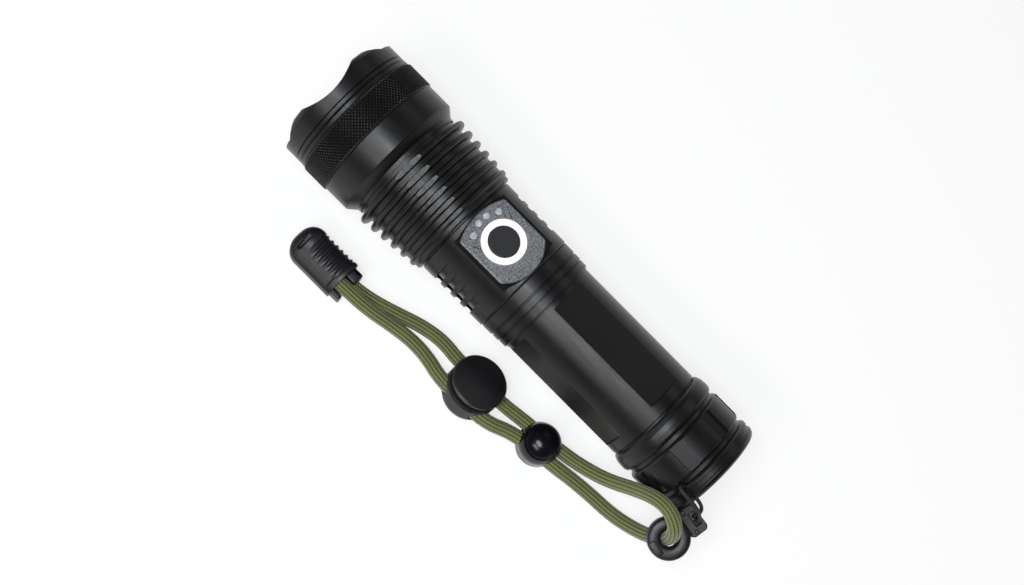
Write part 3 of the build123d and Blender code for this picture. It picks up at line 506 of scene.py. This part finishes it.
# ---------------------------------------------------------------- thread and cell end, under the cap
def thread(start_x, end_x, base_r, depth, pitch, around, rows):
    """Rounded screw thread in relief on the tube's end."""
    points = []
    for i in range(rows + 1):
        x = start_x + (end_x - start_x) * i / rows
        margin = min(1.0, i / 4, (rows - i) / 4)
        for j in range(around):
            wave = 0.5 - 0.5 * math.cos(math.tau * (x / pitch + j / around))
            radius = base_r + depth * wave * margin
            turn = math.tau * j / around
            points.append((x, radius * math.sin(turn), AXIS_Z + radius * math.cos(turn)))
    make_piece("tube_thread", points, tube_faces(rows + 1, around), "anodised_black", "body")


thread(-62.9, -56.1, base_r=14.59, depth=0.14, pitch=1.0, around=128, rows=68)
CELL_END = ((-3.66, 0, AXIS_Z), (0, 1, 0), (0, 0, 1), (1, 0, 0))
ring_piece("cell_insulator", CELL_END, 7.2, 2.6, 0.10, 0.6, "board_copper", "cell", around=64,
           section=12)

# ---------------------------------------------------------------- end clip of the lanyard
CLIP_MID_Y, CLIP_MID_Z = 33.5, 4.65
CLIP_HALF_WIDE, CLIP_HALF_HIGH, CLIP_END_R = 6.1, 4.55, 4.8
CLIP_MOUTH_X, CLIP_FAR_X = 37.6, 56.2
CLIP_CORNER = 0.42                       # power of the section's rounded corners
SLOPE_START_Y, SLOPE_FALL = 0.6, 3.0     # the facet falls away beyond this line
RIBS_X, RIB_PITCH, RIB_DEPTH = (38.9, 50.6), 1.95, 0.62
PANEL_X, PANEL_Y, PANEL_DEPTH = (39.4, 53.6), (1.7, 5.0), 0.42
WINDOW_AT, WINDOW_HALF, WINDOW_DEPTH = (53.2, 0.9), (0.75, 2.1), 0.9
SEAM_Z, SEAM_HALF, SEAM_DEPTH = -0.35, 0.3, 0.22


def clip_ring(x, around):
    """Points round the clip's section at one station."""
    past = max(0.0, x - (CLIP_FAR_X - CLIP_END_R)) / CLIP_END_R
    shrink = math.sqrt(max(0.0, 1 - past * past))
    wide = CLIP_HALF_WIDE - CLIP_END_R + CLIP_END_R * shrink
    high = CLIP_HALF_HIGH * (0.35 + 0.65 * shrink ** 0.7)
    ribbed = max(0.0, min(1.0, (x - RIBS_X[0]) / 0.5, (RIBS_X[1] - x) / 0.5))
    for j in range(around):
        turn = math.tau * j / around
        c, s = math.cos(turn), math.sin(turn)
        y = wide * math.copysign(abs(c) ** CLIP_CORNER, c)
        z = high * math.copysign(abs(s) ** CLIP_CORNER, s)
        if z > 0:
            slope = max(0.0, y - SLOPE_START_Y) / CLIP_HALF_WIDE
            z -= SLOPE_FALL * slope * z / CLIP_HALF_HIGH
            left = max(0.0, min(1.0, (1.2 - y) / 1.4))
            wave = 0.5 + 0.5 * math.cos(math.tau * (x - RIBS_X[0]) / RIB_PITCH)
            groove = RIB_DEPTH * ribbed * left * wave ** 0.7
            y += groove * 0.8 * max(0.0, -y / CLIP_HALF_WIDE) ** 2
            z -= groove
            inside = min(x - PANEL_X[0], PANEL_X[1] - x, (y - PANEL_Y[0]) * 1.2, (PANEL_Y[1] - y) * 1.2)
            z -= PANEL_DEPTH * min(1.0, max(0.0, inside) / 0.35)
            window = (((x - WINDOW_AT[0]) / WINDOW_HALF[0]) ** 2
                      + ((y - WINDOW_AT[1]) / WINDOW_HALF[1]) ** 2)
            z -= WINDOW_DEPTH * max(0.0, min(1.0, 1.8 - 1.5 * window))
        seam = max(0.0, 1 - abs(z - SEAM_Z) / SEAM_HALF)
        y -= math.copysign(SEAM_DEPTH * seam, y)
        yield (x, CLIP_MID_Y + y, CLIP_MID_Z + z)


def end_clip():
    """Moulded clip: ribs on one side, a sloping facet with a panel on the other, round far end."""
    around, rows = 96, 130
    points = []
    for i in range(rows + 1):
        share = i / rows
        x = CLIP_MOUTH_X + (CLIP_FAR_X - 0.02 - CLIP_MOUTH_X) * (1 - (1 - share) ** 1.25)
        points.extend(clip_ring(x, around))
    faces = tube_faces(rows + 1, around)
    faces.append(tuple(reversed(range(around))))
    faces.append(tuple(range(rows * around, (rows + 1) * around)))
    return make_piece("end_clip", points, faces, "grey_plastic", "cap")


def block(name, corners_low, corners_high, bevel, slot, body, base=None):
    """Bevelled block between two corners in mm, in a frame's own directions if one is given."""
    (x0, y0, z0), (x1, y1, z1) = corners_low, corners_high
    points = [(x, y, z) for x in (x0, x1) for y in (y0, y1) for z in (z0, z1)]
    if base is not None:
        points = [on(base, *point) for point in points]
    faces = [(0, 1, 3, 2), (4, 6, 7, 5), (0, 4, 5, 1), (2, 3, 7, 6), (0, 2, 6, 4), (1, 5, 7, 3)]
    piece = make_piece(name, points, faces, slot, body)
    rounding = piece.modifiers.new("edges", "BEVEL")
    rounding.width = bevel * MM
    rounding.segments = 3
    return piece


# Name, low corner, high corner and bevel, in the connector's frame.
STRAP_BLOCKS = [
    ("connector_strap", (-5.9, -2.6, -2.5), (-3.3, 2.6, 2.5), 0.6),
    ("connector_bridge", (3.2, -3.3, -2.0), (6.2, 3.3, 2.0), 0.5),
    ("connector_slot_floor", (8.1, -2.4, -1.3), (10.5, 2.4, -0.6), 0.05),
    ("connector_prong_one", (7.0, -4.0, 0.9), (8.0, -2.6, 2.0), 0.25),
    ("connector_prong_two", (7.0, 2.6, 0.9), (8.0, 4.0, 2.0), 0.25),
]
# The same, in the flashlight's frame.
JAW_BLOCKS = [
    ("clip_jaw_upper", (34.3, 28.6, 1.2), (38.2, 30.1, 7.4), 0.45),
    ("clip_jaw_over", (34.3, 28.6, 4.9), (38.2, 32.4, 7.4), 0.5),
    ("clip_jaw_lower", (34.3, 37.05, 1.0), (38.2, 38.7, 6.4), 0.45),
]
strap = [block(*row, "grey_plastic", "cap", CONNECTOR) for row in STRAP_BLOCKS]
clip = end_clip()
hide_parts("cord_end_base", "cord_end_lid")
clip_jaws = [block(*row, "grey_plastic", "cap") for row in JAW_BLOCKS]

# ---------------------------------------------------------------- floor and lights
FLOOR_HALF = 4           # metres
FLOOR_CORNERS = ((-1, -1), (1, -1), (1, 1), (-1, 1))
floor_mesh = bpy.data.meshes.new("floor")
floor_mesh.from_pydata([(x * FLOOR_HALF, y * FLOOR_HALF, FLOOR_Z * MM) for x, y in FLOOR_CORNERS],
                       [], [(0, 1, 2, 3)])
floor_paint = shader("floor_paint", Base_Color=(0.30, 0.30, 0.30), Roughness=0.9,
                     Emission_Color=(1.0, 1.0, 1.0), Emission_Strength=0.73)[0]
floor_mesh.materials.append(floor_paint)
floor = bpy.data.objects.new("floor", floor_mesh)
scene.collection.objects.link(floor)


LAMP_AIM = Vector((0, 0, 0.02))          # metres, the flashlight's middle


def area_light(name, place, size, power, tint):
    """Soft oval lamp that faces the flashlight; place and size in metres, power in watts."""
    data = bpy.data.lights.new(name, "AREA")
    data.shape = "ELLIPSE"
    data.size, data.size_y = size
    data.energy = power
    data.color = tint
    lamp = bpy.data.objects.new(name, data)
    lamp.location = place
    lamp.rotation_euler = (LAMP_AIM - Vector(place)).to_track_quat("-Z", "Y").to_euler()
    scene.collection.objects.link(lamp)


area_light("key", (0.06, 0.26, 0.76), (0.50, 0.26), 4.2, (0.92, 0.96, 1.0))
area_light("side", (0.06, 0.50, 0.58), (0.50, 0.16), 1.6, (1.0, 0.97, 0.94))
area_light("fill", (-0.1, -0.60, 0.60), (0.8, 0.3), 0.6, (1.0, 1.0, 1.0))

# White surroundings, bright at the horizon and dim overhead.
world = bpy.data.worlds.new("studio")
world.use_nodes = True
sky, sky_links = world.node_tree.nodes, world.node_tree.links
sky["Background"].inputs["Color"].default_value = (1, 1, 1, 1)
direction = sky.new("ShaderNodeSeparateXYZ")
sky_links.new(sky.new("ShaderNodeTexCoord").outputs["Generated"], direction.inputs["Vector"])
brightness = add_range(sky, sky_links, direction.outputs["Z"], 0.85, 0.07, start=0.03, stop=0.30)
sky_links.new(brightness, sky["Background"].inputs["Strength"])
scene.world = world
scene.view_settings.view_transform = "Standard"

[c * MM for c in CORD_POINTS[0]]
